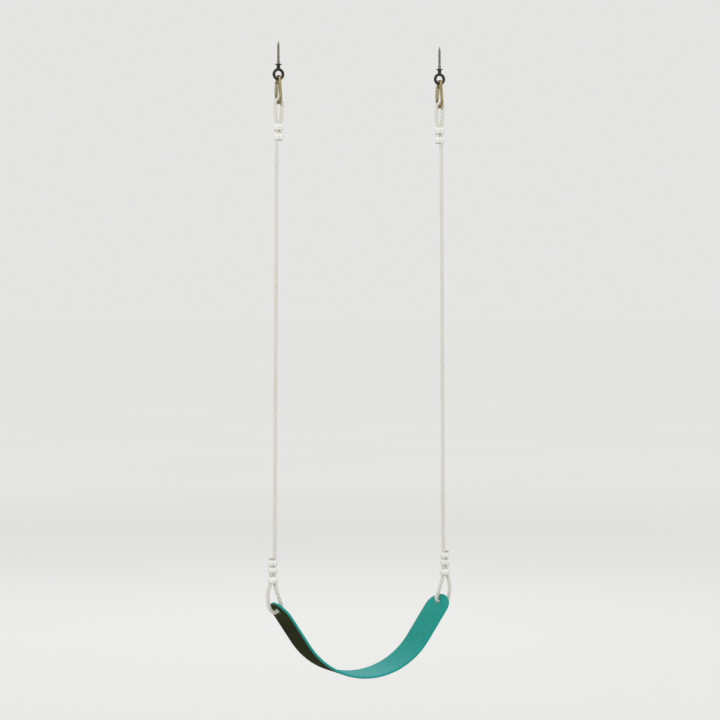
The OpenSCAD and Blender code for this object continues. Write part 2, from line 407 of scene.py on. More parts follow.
# ---------------------------------------------------------------- materials

class Paint:
    """A material under construction: node() adds a node, and inputs take numbers or other nodes."""

    def __init__(self, name):
        self.material = bpy.data.materials.new(name)
        self.material.use_nodes = True
        self.tree = self.material.node_tree
        self.shader = self.tree.nodes["Principled BSDF"]

    def connect(self, socket, value):
        if isinstance(value, bpy.types.Node):
            value = value.outputs[0]
        if isinstance(value, bpy.types.NodeSocket):
            self.tree.links.new(value, socket)
        elif isinstance(value, tuple) and len(value) == 3 and socket.type == "RGBA":
            socket.default_value = (*value, 1)
        else:
            socket.default_value = value

    def node(self, kind, inputs=None, **settings):
        made = self.tree.nodes.new("ShaderNode" + kind)
        for key, value in settings.items():
            setattr(made, key, value)
        for key, value in (inputs or {}).items():
            self.connect(made.inputs[key], value)
        return made

    def set(self, **inputs):
        for key, value in inputs.items():
            self.connect(self.shader.inputs[key.replace("_", " ")], value)

    def place(self):
        return self.node("TexCoord").outputs["Object"]

    def uv(self):
        return self.node("UVMap").outputs[0]

    def stretched(self, vector, scale):
        return self.node("Mapping", {"Vector": vector, "Scale": scale})

    def noise(self, vector, scale, detail=4.0, roughness=0.55, distortion=0.0):
        return self.node("TexNoise", {
            "Vector": vector, "Scale": scale, "Detail": detail,
            "Roughness": roughness, "Distortion": distortion,
        }).outputs["Fac"]

    def math(self, operation, a, b=None):
        made = self.node("Math", operation=operation)
        self.connect(made.inputs[0], a)
        if b is not None:
            self.connect(made.inputs[1], b)
        return made

    def span(self, value, low, high, to_low=0.0, to_high=1.0):
        return self.node("MapRange", {
            "Value": value, "From Min": low, "From Max": high, "To Min": to_low, "To Max": to_high,
        })

    def mix(self, share, a, b, blend="MIX"):
        made = self.node("Mix", data_type="RGBA", blend_type=blend)
        self.connect(made.inputs[0], share)
        self.connect(made.inputs[6], a)
        self.connect(made.inputs[7], b)
        return made.outputs[2]

    def attribute(self, name):
        return self.node("Attribute", attribute_name=name).outputs["Fac"]

    def bump(self, height, distance, strength=1.0, below=None):
        made = self.node("Bump", {"Height": height, "Distance": distance, "Strength": strength})
        if below is not None:
            self.connect(made.inputs["Normal"], below)
        return made


def floor_paint():
    """Pale matt paint, a little deeper under the lamps so that the floor keeps one tone."""
    p = Paint("floor_paint")
    place = p.place()
    tone = p.noise(place, 0.6, 3)
    colour = p.mix(tone, (0.84, 0.84, 0.83), (0.88, 0.88, 0.87))
    away = p.node("VectorMath", {0: place}, operation="LENGTH").outputs["Value"]
    under_lamps = p.span(away, 12.0, 2.0)
    colour = p.mix(under_lamps, colour, (0.70, 0.70, 0.69))
    p.set(Base_Color=colour, Roughness=p.span(tone, 0.3, 0.7, 0.80, 0.90),
          Normal=p.bump(p.noise(place, 60.0, 3), 0.0002, 0.3), Specular_IOR_Level=0.1)
    return p.material


def rope_fibre():
    """Off-white twisted fibre: yarns lie along the rope, painted shade darkens the grooves between the
    strands, the ends are melted.
    """
    p = Paint("rope_fibre")
    uv = p.uv()
    groove = p.attribute("groove")
    sealed = p.attribute("sealed")
    across = p.node("SeparateXYZ", {0: uv}).outputs[0]
    yarn = p.math("SINE", p.math("MULTIPLY", across, 2 * math.pi * 30))
    fibre = p.noise(p.stretched(uv, (90.0, 9.0, 1.0)), 1.0, 5, 0.6)
    grime = p.noise(p.place(), 9.0, 4, 0.6)
    colour = p.mix(p.span(fibre, 0.3, 0.7), (0.70, 0.68, 0.61), (0.86, 0.85, 0.80))
    colour = p.mix(p.span(grime, 0.5, 0.8, 0, 0.35), colour, (0.60, 0.57, 0.49))
    # painted shade in the grooves between the strands
    colour = p.mix(p.span(groove, 0.55, 1.0, 0, 0.50), colour, (0.46, 0.43, 0.35))
    colour = p.mix(p.span(sealed, 0.3, 0.9, 0, 0.8), colour, (0.42, 0.33, 0.19))
    coat = p.bump(yarn, 0.00018, 0.8)
    coat = p.bump(fibre, 0.00025, 0.7, coat)
    p.set(Base_Color=colour, Roughness=p.span(sealed, 0, 1, 0.78, 0.42), Normal=coat,
          Sheen_Weight=0.25, Sheen_Roughness=0.5)
    return p.material


def clamp_plastic():
    p = Paint("clamp_plastic")
    place = p.place()
    cloud = p.noise(place, 60.0, 3)
    scuff = p.noise(p.stretched(place, (1.0, 1.0, 0.2)), 900.0, 4, 0.7)
    colour = p.mix(p.span(cloud, 0.3, 0.7), (0.73, 0.73, 0.69), (0.80, 0.80, 0.77))
    colour = p.mix(p.span(scuff, 0.60, 0.75, 0, 0.35), colour, (0.52, 0.50, 0.45))
    p.set(Base_Color=colour, Roughness=p.span(scuff, 0.35, 0.7, 0.34, 0.55),
          Normal=p.bump(scuff, 0.00006, 0.6), Subsurface_Weight=0.12, Subsurface_Scale=0.004,
          Subsurface_Radius=(1.0, 0.9, 0.8))
    return p.material


def dark_steel():
    """Brown-black stove enamel, rubbed to bright metal inside the ring where the hook hangs."""
    p = Paint("dark_steel")
    place = p.place()
    orange_peel = p.noise(place, 700.0, 3)
    cloud = p.noise(place, 120.0, 4)
    split = p.node("SeparateXYZ", {0: place})
    sideways = p.math("SUBTRACT", p.math("ABSOLUTE", split.outputs[0]), HALF_SPACING)
    below = p.math("SUBTRACT", split.outputs[2], EYE_PIVOT_Z + EYE_RING_R)
    from_centre = p.node("VectorMath", {0: p.node("CombineXYZ", {0: sideways, 2: below})},
                         operation="LENGTH").outputs["Value"]
    rubbed = p.math("MULTIPLY", p.span(from_centre, 0.0122, 0.0100), p.span(below, -0.0055, -0.0085))
    patch = p.math("MULTIPLY", rubbed, p.span(p.noise(place, 420.0, 5, 0.7), 0.40, 0.52))
    colour = p.mix(p.span(cloud, 0.3, 0.7), (0.010, 0.0075, 0.005), (0.022, 0.016, 0.011))
    colour = p.mix(patch, colour, (0.46, 0.43, 0.39))
    p.set(Base_Color=colour, Metallic=patch,
          Roughness=p.span(cloud, 0.3, 0.7, 0.30, 0.46), Normal=p.bump(orange_peel, 0.00008, 0.5),
          Specular_IOR_Level=0.35)
    return p.material


def thread_steel():
    p = Paint("thread_steel")
    place = p.place()
    cloud = p.noise(place, 260.0, 4, 0.6)
    colour = p.mix(p.span(cloud, 0.3, 0.7), (0.16, 0.14, 0.115), (0.30, 0.275, 0.235))
    p.set(Base_Color=colour, Metallic=0.85, Roughness=p.span(cloud, 0.3, 0.7, 0.30, 0.5),
          Normal=p.bump(p.noise(place, 1500.0, 3), 0.00005, 0.5))
    return p.material


def passivated_zinc(name, dark, light, tint):
    """Yellow-green passivated zinc with cloudy interference colours and fine drawing marks."""
    p = Paint(name)
    place = p.place()
    cloud = p.noise(place, 140.0, 4, 0.55, 0.6)
    film = p.noise(place, 330.0, 3, 0.5, 1.2)
    marks = p.noise(p.stretched(place, (1.0, 1.0, 0.12)), 2600.0, 3)
    colour = p.mix(p.span(cloud, 0.32, 0.68), dark, light)
    colour = p.mix(p.span(film, 0.48, 0.72, 0, 0.5), colour, tint)
    p.set(Base_Color=colour, Metallic=1.0, Roughness=p.span(cloud, 0.3, 0.7, 0.24, 0.40),
          Normal=p.bump(marks, 0.00005, 0.4))
    return p.material


def belt_underside():
    """The belt's underside, matt, painted near-black olive as shade, with painted light making the
    tread's ribs a little lighter.
    """
    p = Paint("belt_underside")
    place = p.place()
    cloud = p.noise(place, 22.0, 5, 0.6)
    fine = p.noise(place, 420.0, 4, 0.65)
    # painted shade: the underside's base colour is near-black olive
    colour = p.mix(p.span(cloud, 0.35, 0.65), BELT_PAINTED_SHADE, (0.014, 0.016, 0.002))
    # painted light: the tread's studs on the underside are a little lighter than its hollows
    painted_stud_light = p.span(p.attribute("hollow"), 0.2, 0.8, 0.5, 0)
    colour = p.mix(painted_stud_light, colour, (0.034, 0.040, 0.003))
    colour = p.mix(p.span(fine, 0.55, 0.75, 0, 0.4), colour, (0.045, 0.045, 0.020))
    p.set(Base_Color=colour, Roughness=p.span(cloud, 0.3, 0.7, 0.70, 0.85),
          Normal=p.bump(fine, 0.00022, 0.6), Specular_IOR_Level=0.04)
    return p.material


def belt_rubber():
    """Teal moulded rubber: paler and bluer towards the middle of the seat, with painted shade in the
    tread's hollows and round the lower edge.
    """
    p = Paint("belt_rubber")
    place = p.place()
    uv = p.uv()
    under = p.attribute("under")
    hollow = p.attribute("hollow")
    along = p.math("ABSOLUTE", p.node("SeparateXYZ", {0: uv}).outputs[0])
    cloud = p.noise(place, 22.0, 5, 0.6)
    fine = p.noise(place, 420.0, 4, 0.65)
    grain = p.noise(place, 1300.0, 3, 0.6)
    colour = p.mix(p.span(fine, 0.32, 0.68), (0.003, 0.245, 0.205), (0.008, 0.335, 0.283))
    mottle = p.noise(place, 75.0, 3, 0.6)
    colour = p.mix(p.span(mottle, 0.44, 0.62, 0, 0.35), colour, (0.003, 0.182, 0.155))
    # painted shade in the tread's hollows
    colour = p.mix(p.span(hollow, 0.45, 1.0, 0, 0.45), colour, (0.003, 0.155, 0.132))
    # paler and bluer towards the middle of the seat, in patches
    paler_middle = p.math("MULTIPLY", p.span(along, 0.21, 0.04), p.span(cloud, 0.30, 0.62, 0.45, 1))
    colour = p.mix(p.math("MULTIPLY", paler_middle, 0.5), colour, (0.045, 0.345, 0.370))
    scuffs = p.span(p.noise(p.stretched(uv, (5.0, 42.0, 1.0)), 9.0, 6, 0.7), 0.60, 0.74, 0, 0.18)
    colour = p.mix(scuffs, colour, (0.13, 0.42, 0.41))
    # painted shade round the lower half of the edges, where they turn under
    colour = p.mix(under, colour, BELT_PAINTED_SHADE)
    coat = p.bump(fine, 0.00022, 0.6)
    coat = p.bump(grain, 0.00010, 0.5, coat)
    p.set(Base_Color=colour, Roughness=p.span(cloud, 0.3, 0.7, 0.46, 0.60), Normal=coat,
          Specular_IOR_Level=0.10)
    return p.material


# ---------------------------------------------------------------- ropes

ROPE_LAY = 0.036             # length of one turn of the three strands
ROUTE_STEPS = 6              # curve points between two points of the route
ROPE_SIDES = 36
ROPE_STEP = 0.0015
STRAND_SHARE = 0.60          # a strand's radius as a share of the rope's
SEAL_L = 0.005               # melted length at each end
DOME_L = 0.0016


def rope_path(side):
    line = [p for stretch in ROPE_ROUTE for p in curve_through(stretch, ROUTE_STEPS)]
    return np.array([(side * (HALF_SPACING + out), 0.0, z) for out, z in line])


def make_rope(name, side, material):
    """Three twisted strands swept along the route, with round melted ends, and the route."""
    path = rope_path(side)
    total = lengths_along(path)[-1]
    dome = DOME_L * (1 - np.cos(np.radians(np.arange(4, 90, 12))))
    at = np.concatenate([dome, np.arange(DOME_L, total - DOME_L, ROPE_STEP), total - dome[::-1]])
    line = points_at(path, at)
    along = tangents(line)
    forward = np.array([0.0, 1.0, 0.0])
    across = np.cross(along, forward)
    from_end = np.minimum(at, total - at)
    sealed = smoothstep(1.4 - from_end / SEAL_L)
    dome_scale = np.sqrt(1 - np.clip(1 - from_end / DOME_L, 0, 0.9999) ** 2)

    turn = 2 * np.pi * np.arange(ROPE_SIDES) / ROPE_SIDES
    from_strand = (np.degrees(turn) + 60) % 120 - 60
    psi = np.radians(from_strand)
    strand_r = STRAND_SHARE * ROPE_D / 2
    off_axis = ROPE_D / 2 - strand_r
    lobes = off_axis * np.cos(psi) + np.sqrt(strand_r**2 - (off_axis * np.sin(psi)) ** 2)

    radius = lobes[None, :] * (1 - sealed[:, None]) + 1.02 * ROPE_D / 2 * sealed[:, None]
    radius *= dome_scale[:, None]
    angle = turn[None, :] + 2 * np.pi * at[:, None] / ROPE_LAY
    rings = (line[:, None, :]
             + (radius * np.cos(angle))[:, :, None] * across[:, None, :]
             + (radius * np.sin(angle))[:, :, None] * forward)
    groove = np.broadcast_to(np.abs(from_strand) / 60, radius.shape) * (1 - sealed[:, None])
    uv = np.stack([angle / (2 * np.pi), np.broadcast_to(at[:, None], radius.shape) / ROPE_D], axis=2)
    piece = make_mesh(
        name, rings.reshape(-1, 3), tube_faces(len(at), ROPE_SIDES), material,
        uv=uv.reshape(-1, 2),
        values={"groove": groove.ravel(),
                "sealed": np.broadcast_to(sealed[:, None], radius.shape).ravel()})
    return piece, path


# ---------------------------------------------------------------- clamps and beads

CLAMP_ROLL = 0.0025          # radius of a clamp's outer edges
SEAM = 0.00022               # height of the moulded parting line
SEAM_W = 0.0005
MOUTH = 0.0010               # how much a bead's holes widen at their ends


def arc_points(centre, radius, start, end, steps):
    out = []
    for i in range(steps + 1):
        a = math.radians(start + (end - start) * i / steps)
        out.append((centre[0] + radius * math.cos(a), centre[1] + radius * math.sin(a)))
    return out


def make_clamp(name, node, material):
    """Two moulded sleeves side by side, with rolled edges and a parting line round the middle."""
    lo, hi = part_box(node)
    half_h = (hi.z - lo.z) / 2
    outer = (hi.y - lo.y) / 2
    lead = outer - BORE_R - CLAMP_ROLL
    top = [(outer, half_h - CLAMP_ROLL)]
    top += arc_points((outer - CLAMP_ROLL, half_h - CLAMP_ROLL), CLAMP_ROLL, 0, 90, 6)[1:]
    top += arc_points((outer - CLAMP_ROLL, half_h - lead), lead, 90, 180, 3)[1:]
    upper = [(outer + SEAM, 0.0), (outer + SEAM, SEAM_W / 2), (outer, SEAM_W)] + top
    profile = upper + [(r, -z) for r, z in reversed(upper[1:])]
    verts, faces = lathe(profile, 64, closed=True)
    bm = bmesh.new()
    made = [bm.verts.new((x + STRAND_X, y, z)) for x, y, z in verts]
    for f in faces:
        bm.faces.new([made[i] for i in f])
    bmesh.ops.bisect_plane(  # keeps the half on the right, which is then mirrored
        bm, geom=bm.verts[:] + bm.edges[:] + bm.faces[:], dist=WELD,
        plane_co=(0, 0, 0), plane_no=(1, 0, 0), clear_inner=True)
    for v in bm.verts:
        if abs(v.co.x) < 1e-6:
            v.co.x = 0.0
    bmesh.ops.mirror(bm, geom=bm.verts[:] + bm.edges[:] + bm.faces[:], axis="X", merge_dist=1e-6)
    bm.verts.index_update()
    verts = [tuple(v.co) for v in bm.verts]
    faces = [tuple(v.index for v in f.verts) for f in bm.faces]
    bm.free()
    piece = make_mesh(name, verts, faces, material, sharp=42)
    return placed(piece, (lo.x + hi.x) / 2, (lo.z + hi.z) / 2)


def flared_cutter(name, x, half_h):
    """A round hole that widens at both mouths."""
    mouth = [(0.0, half_h + MOUTH), (BORE_R + 2 * MOUTH, half_h + MOUTH), (BORE_R + MOUTH, half_h),
             (BORE_R + 0.35 * MOUTH, half_h - 0.3 * MOUTH), (BORE_R, half_h - 1.2 * MOUTH)]
    verts, faces = lathe([(r, -z) for r, z in mouth] + mouth[::-1], 48)
    return make_mesh(name, [(vx + x, vy, vz) for vx, vy, vz in verts], faces, None)


def make_bead(name, node, material):
    """A moulded bead with a parting line and two holes."""
    lo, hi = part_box(node)
    half_h, outer = (hi.z - lo.z) / 2, (hi.x - lo.x) / 2
    top = arc_points((outer - half_h, 0.0), half_h, 2.5, 90, 14)
    upper = [(outer + SEAM, 0.0), (outer + SEAM, SEAM_W / 2)] + top
    profile = [(0.0, -half_h)] + [(r, -z) for r, z in reversed(upper[1:])] + upper + [(0.0, half_h)]
    verts, faces = lathe(profile, 72)
    piece = make_mesh(name, verts, faces, material)
    for x in (-STRAND_X, STRAND_X):
        cut(piece, flared_cutter("cutter", x, half_h))
    smooth(piece.data, 38)
    return placed(piece, (lo.x + hi.x) / 2, (lo.z + hi.z) / 2)


# ---------------------------------------------------------------- screw eyes

EYE_VOXEL = 0.00042          # the ring, neck and collar are blended on a grid this fine
THREAD_PITCH = 0.0032
THREAD_ROWS = 16             # rows of points in one pitch
THREAD_CORE_R = 0.0029
PLAIN_SHANK = 0.009          # length of the smooth shank under the thread
THREAD_SUNK = 0.001          # how far the shank reaches into the collar


def make_eye(name, x, material):
    """Forged ring, neck and collar, blended into one another."""
    ring_z = EYE_PIVOT_Z + EYE_RING_R
    around, across = 96, 28
    verts, faces = [], []
    for i in range(around):
        a = 2 * math.pi * i / around
        for k in range(across):
            b = 2 * math.pi * k / across
            r = EYE_RING_R + EYE_WIRE_R * math.cos(b)
            verts.append((r * math.sin(a), EYE_WIRE_R * math.sin(b), ring_z + r * math.cos(a)))
            n, m = (i + 1) % around, (k + 1) % across
            faces.append((i * across + k, i * across + m, n * across + m, n * across + k))
    ring = make_mesh("ring", verts, faces, material)
    top = ring_z + EYE_RING_R
    edge = 0.0008
    verts, faces = lathe([
        (0.0, top - 0.002), (EYE_NECK_R, top - 0.002), (EYE_NECK_R, -EYE_COLLAR_H),
        (EYE_COLLAR_R - edge, -EYE_COLLAR_H), (EYE_COLLAR_R, -EYE_COLLAR_H + edge),
        (EYE_COLLAR_R, -edge / 2), (EYE_COLLAR_R - edge / 2, 0.0), (0.0, 0.0)], 64)
    neck = make_mesh("neck", verts, faces, material)
    body = join(name, [ring, neck])
    remesh = body.modifiers.new("remesh", "REMESH")
    remesh.mode = "VOXEL"
    remesh.voxel_size = EYE_VOXEL
    relax = body.modifiers.new("relax", "SMOOTH")
    relax.factor = 0.5
    relax.iterations = 7
    applied(body)
    return placed(body, x)


def make_thread(name, x, material):
    """Plain shank, then a coarse wood thread that runs out into a point."""
    around = 40
    start, end = -THREAD_SUNK, EYE_TOP_Z
    angle = 2 * np.pi * np.arange(around) / around
    rows = int((end - start) / THREAD_PITCH * THREAD_ROWS)
    height = np.linspace(start, end, rows)[1:-1, None]
    phase = (height / THREAD_PITCH - angle / (2 * np.pi)) % 1
    crest = smoothstep(1.35 - np.abs(phase - 0.5) / 0.14)
    shank = EYE_WIRE_R * (1 - smoothstep((height - PLAIN_SHANK) / 0.004))
    grow = smoothstep((height - PLAIN_SHANK - 0.001) / 0.005)
    threaded = THREAD_CORE_R + (EYE_WIRE_R - THREAD_CORE_R) * crest * grow
    taper = np.minimum(1.0, 0.05 + 0.95 * ((end - height) / EYE_TIP_L) ** 0.75)
    radius = np.maximum(shank, threaded) * taper
    rings = np.stack([radius * np.cos(angle), radius * np.sin(angle),
                      np.broadcast_to(height, radius.shape)], axis=2)
    rings = np.concatenate([rings[:1] + (0, 0, start - rings[0, 0, 2]), rings])
    verts = list(rings.reshape(-1, 3)) + [(0.0, 0.0, end)]
    faces = tube_faces(len(rings), around)[:-1]
    last = (len(rings) - 1) * around
    faces += [(last + k, last + (k + 1) % around, len(verts) - 1) for k in range(around)]
    piece = make_mesh(name, verts, faces, material, sharp=60)
    return placed(piece, x)


# ---------------------------------------------------------------- snap hooks

def side_point(s, out=0.0):
    """Point (y, z) on the gate side's line, s down from the upper bow's end, out from the hook."""
    y = NECK_R * math.cos(LEAN) + s * math.sin(LEAN) + out * math.cos(LEAN)
    z = NECK_Z + NECK_R * math.sin(LEAN) - s * math.cos(LEAN) + out * math.sin(LEAN)
    return y, z


def from_side(obj, s=0.0):
    """Moves a piece from the side's own frame, X across, Y outward, Z down the side, into place."""
    y, z = side_point(s)
    down = Matrix.Rotation(LEAN, 4, "X") @ Matrix.Scale(-1, 4, (0, 0, 1))
    obj.data.transform(Matrix.Translation((0, y, z)) @ down)
    obj.data.flip_normals()
    return obj


def hook_line():
    """The wire's points (y, z), each with its flattening, 0 to 1, and its distance past the rivet."""
    line = []
    flat_end = PIVOT_S - 0.0046
    for s in np.arange(PIVOT_S + TONGUE_END_R, 0.0005, -0.0005):
        line.append((*side_point(s), 1 - float(smoothstep((flat_end - s) / 0.0012 + 0.5)),
                     max(0.0, s - PIVOT_S)))
    for y, z in arc_points((0.0, NECK_Z), NECK_R, math.degrees(LEAN), 180 - math.degrees(LEAN), 30):
        line.append((y, z, 0.0, 0.0))
    for s in np.arange(0.002, SIDE_L - 0.001, 0.002):
        y, z = side_point(s)
        line.append((-y, z, 0.0, 0.0))
    bow = arc_points((0.0, BOW_Z), BOW_R, 180 - math.degrees(LEAN), 360 + math.degrees(LEAN), 56)
    line += [(y, z, 0.0, 0.0) for y, z in bow]
    for s in np.arange(SIDE_L - 0.0005, NOSE_S - NOSE_TONGUE_L, -0.0005):
        line.append((*side_point(s), float(smoothstep((NOSE_S - s) / 0.0010 + 0.5)), 0.0))
    return np.array(line)


def make_hook(name, x, material):
    """Bent wire with a flattened tongue at the rivet and another at the nose."""
    data = hook_line()
    sides = 32
    line = np.column_stack([np.zeros(len(data)), data[:, 0], data[:, 1]])
    along = tangents(line)
    across = np.array([1.0, 0.0, 0.0])
    outward = np.cross(along, across)
    middle = np.array([0.0, 0.0, (NECK_Z + BOW_Z) / 2])
    if np.dot(outward[len(line) // 2], line[len(line) // 2] - middle) < 0:
        outward = -outward
    turn = 2 * np.pi * (np.arange(sides) + 0.5) / sides
    rings = []
    for p, o, flat, past in zip(line, outward, data[:, 2], data[:, 3]):
        wide = WIRE_R * np.cos(turn)
        out = WIRE_R * np.sin(turn)
        limit = WIRE_R + (TONGUE_HALF - WIRE_R) * flat
        back = WIRE_R + (TONGUE_BACK - WIRE_R) * flat
        front = WIRE_R
        if past > 0:
            front = math.sqrt(max(TONGUE_END_R**2 - past**2, 1e-8))
            back = min(back, front)
        wide = np.clip(wide, -limit, limit)
        out = np.clip(out, -back, front)
        rings.append(p + wide[:, None] * across + out[:, None] * o)
    verts = np.array(rings).reshape(-1, 3)
    piece = make_mesh(name, verts, tube_faces(len(rings), sides), material, sharp=48)
    return placed(piece, x)


def prism(name, outline, low, high, axis, material=None):
    """An outline extruded along an axis. The outline's points are in the other two axes' order."""
    verts = []
    for t in (low, high):
        for a, b in outline:
            verts.append({"X": (t, a, b), "Y": (a, t, b), "Z": (a, b, t)}[axis])
    n = len(outline)
    faces = [tuple(range(n)), tuple(range(2 * n - 1, n - 1, -1))]
    faces += [(i, (i + 1) % n, n + (i + 1) % n, n + i) for i in range(n)]
    return make_mesh(name, verts, faces, material)


def make_gate(name, x, material):
    """A folded sheet channel, round at the rivet, with a lug inside that holds the spring."""
    half, sheet, bend = GATE_W / 2, GATE_SHEET, 0.0016
    outer = [(half, GATE_BACK)] + arc_points((half - bend, bend - GATE_BACK), bend, 0, -90, 6)
    outer += arc_points((bend - half, bend - GATE_BACK), bend, -90, -180, 6) + [(-half, GATE_BACK)]
    inner_r = bend - sheet
    inner = [(sheet - half, GATE_BACK)]
    inner += arc_points((bend - half, bend - GATE_BACK), inner_r, 180, 270, 4)
    inner += arc_points((half - bend, bend - GATE_BACK), inner_r, 270, 360, 4)
    inner += [(half - sheet, GATE_BACK)]
    piece = prism(name, outer + inner, -GATE_BACK, GATE_L, "Z", material)
    end = arc_points((0.0, 0.0), GATE_BACK, 180, 360, 24)
    outline = end + [(GATE_BACK, GATE_L + 0.001), (-GATE_BACK, GATE_L + 0.001)]
    cut(piece, prism("cutter", outline, -GATE_W, GATE_W, "X"), "INTERSECT")
    notch = [(-0.006, -0.006), (-0.0005, -0.006), (-0.0005, GATE_WEB_START), (-0.006, GATE_WEB_START)]
    cut(piece, prism("cutter", notch, sheet - half, half - sheet, "X"))
    soften(piece, 0.00022)
    lug = prism("lug", [(-half + sheet / 2, SPRING_SEAT), (half - sheet / 2, SPRING_SEAT),
                        (half - sheet / 2, SPRING_SEAT + SPRING_SEAT_T),
                        (-half + sheet / 2, SPRING_SEAT + SPRING_SEAT_T)],
                sheet / 2 - GATE_BACK, TONGUE_BACK, "Y", material)
    soften(lug, 0.0002)
    piece = join(name, [piece, lug])
    smooth(piece.data, 50)
    return placed(from_side(piece, PIVOT_S), x)


def make_rivet(name, x, material):
    """A shaft across the gate with a domed head at each end."""
    head, edge = GATE_W / 2 + SLACK, 0.0003
    dome = [(RIVET_HEAD_R * math.cos(math.radians(a)),
             head + edge + (RIVET_HEAD_H - edge) * math.sin(math.radians(a)))
            for a in range(0, 90, 15)]
    half = [(RIVET_R, 0.0), (RIVET_R, head), (RIVET_HEAD_R, head)] + dome + [(0.0, head + RIVET_HEAD_H)]
    profile = [(r, -z) for r, z in reversed(half[1:])] + half[1:]
    verts, faces = lathe(profile, 40)
    piece = make_mesh(name, [(z, vy, -vx) for vx, vy, z in verts], faces, material, sharp=45)
    return placed(from_side(piece, PIVOT_S), x)


def make_spring(name, x, material):
    """Compression spring with its two end turns closed."""
    length = SPRING_SEAT - SPRING_START - 2 * SPRING_WIRE_R - SLACK
    around, sides = 28, 12
    points = []
    for i in range(around * (SPRING_TURNS + 2) + 1):
        turns = i / around
        open_turns = min(max(turns - 1, 0.0), SPRING_TURNS)
        closed_turns = turns - open_turns
        rise = closed_turns * 2 * SPRING_WIRE_R
        rise += open_turns * (length - 4 * SPRING_WIRE_R) / SPRING_TURNS
        a = 2 * math.pi * turns
        points.append((SPRING_R * math.cos(a), SPRING_R * math.sin(a), rise))
    line = np.array(points)
    along = tangents(line)
    out = line * (1, 1, 0) / SPRING_R
    up = np.cross(along, out)
    turn = 2 * np.pi * np.arange(sides) / sides
    rings = (line[:, None, :] + SPRING_WIRE_R * np.cos(turn)[None, :, None] * out[:, None, :]
             + SPRING_WIRE_R * np.sin(turn)[None, :, None] * up[:, None, :])
    rings = rings.reshape(-1, 3) + (0, SLACK, 0)
    piece = make_mesh(name, rings, tube_faces(len(line), sides), material)
    return placed(from_side(piece, PIVOT_S + SPRING_START + SPRING_WIRE_R), x)


# ---------------------------------------------------------------- belt

CELL = 0.0014                # size of a mesh cell on the belt's faces
TREAD_RUN = 0.086            # length of each straight end that has the tread
LONG_CELLS = round((BEND_S + TREAD_RUN) / CELL)
CUT_U = LONG_CELLS * CELL - BEND_S   # where the long grid meets the rings round the hole
RING_STEPS = 10              # rings over the smooth end, from the hole's lip to the rim
TREAD = 4 * CELL             # pitch of the moulded pattern
TREAD_H = 0.00036
TREAD_FADE = 0.007           # length over which it runs out towards the smooth ends
# Layers in from the edge: distance in, height of the upper face, height of the lower face
EDGE_LAYERS = [
    (0.0, 0.0010, -0.0010), (0.00035, 0.0022, -0.0022), (0.0011, 0.00305, -0.00305),
    (0.0024, 0.0035, -0.0035), (0.0040, 0.0035, -0.0035), (0.0056, 0.0034, -0.0034),
    (0.0068, 0.0029, -0.0030), (0.0082, 0.0027, -0.0029),
]
# Layers out from the hole's wall, the same way
HOLE_LAYERS = [
    (0.0, 0.0012, -0.0012), (0.0003, 0.0024, -0.0024), (0.0011, 0.0032, -0.0032),
    (0.0022, 0.0035, -0.0035), (0.0046, 0.0034, -0.0034), (0.0058, 0.0029, -0.0030),
    (0.0070, 0.0027, -0.0029),
]
FACE_TOP, FACE_BELOW = EDGE_LAYERS[-1][1], EDGE_LAYERS[-1][2]
FACE_EDGE = EDGE_LAYERS[-1][0]
HALF_FACE = BELT_W / 2 - FACE_EDGE
FACE_CELLS = round(HALF_FACE / CELL)


def tread(s, v):
    """Height share of the moulded diamond pattern, 0 in its hollows and 1 on its studs."""
    along, across = s / TREAD, v / (4 * HALF_FACE / FACE_CELLS)
    wave = math.cos(math.pi * (along + across)) * math.cos(math.pi * (along - across))
    return float(smoothstep(0.5 + 0.9 * wave))


def bent(s, v, h):
    """Puts a point of the flat belt, s along and v across it, h above its middle, in its place."""
    side = -1 if s < 0 else 1
    run = abs(s)
    a = min(run / BELT_BEND_R, BELT_SLOPE)
    beyond = max(0.0, run - BEND_S)
    x = BELT_BEND_R * math.sin(a) + beyond * math.cos(a) - h * math.sin(a)
    z = BEND_Z - BELT_BEND_R * math.cos(a) + beyond * math.sin(a) + h * math.cos(a)
    return side * x, v, z


class FlatBelt:
    """Points and faces of the flat belt. A point is kept as (s, v, h, under, hollow)."""

    def __init__(self):
        self.points, self.faces = [], []

    def point(self, s, v, h, under, hollow=0.0):
        self.points.append((s, v, h, under, hollow))
        return len(self.points) - 1

    def face_point(self, s, v, upper):
        """A point on one of the large faces, with the tread everywhere but at the ends."""
        grow = float(smoothstep((BEND_S + CUT_U - abs(s)) / TREAD_FADE))
        share = tread(s, v)
        if upper:
            return self.point(s, v, FACE_TOP + grow * TREAD_H * share, 0.0, grow * (1 - share))
        return self.point(s, v, FACE_BELOW - grow * TREAD_H * share, 1.0, grow * (1 - share))

    def strip(self, rows, flip=False):
        for low, high in zip(rows, rows[1:]):
            for a, b, c, d in zip(low, low[1:], high[1:], high):
                self.faces.append((d, c, b, a) if flip else (a, b, c, d))


def end_outline(inset):
    """Half the blunt end's outline, inset by a distance, from the cut line to the tip."""
    straight = np.linspace(CUT_U, CORNER_U, round((CORNER_U - CUT_U) / CELL) + 1)
    points = [(u, BELT_W / 2 - inset) for u in straight[:-1]]
    points += arc_points((CORNER_U, CORNER_V), CORNER_R - inset, 90, JOIN_DIR, 22)
    return points + arc_points((TIP_U, 0.0), TIP_R - inset, JOIN_DIR, 0, 36)[1:]


def across_points():
    """Places across the large face between the rims."""
    return list(np.linspace(-HALF_FACE, HALF_FACE, 2 * FACE_CELLS + 1))


# how much of the painted underside shade an edge layer of the lower face takes
def under_share(layer):
    return float(smoothstep((layer - 1) / 2.5))


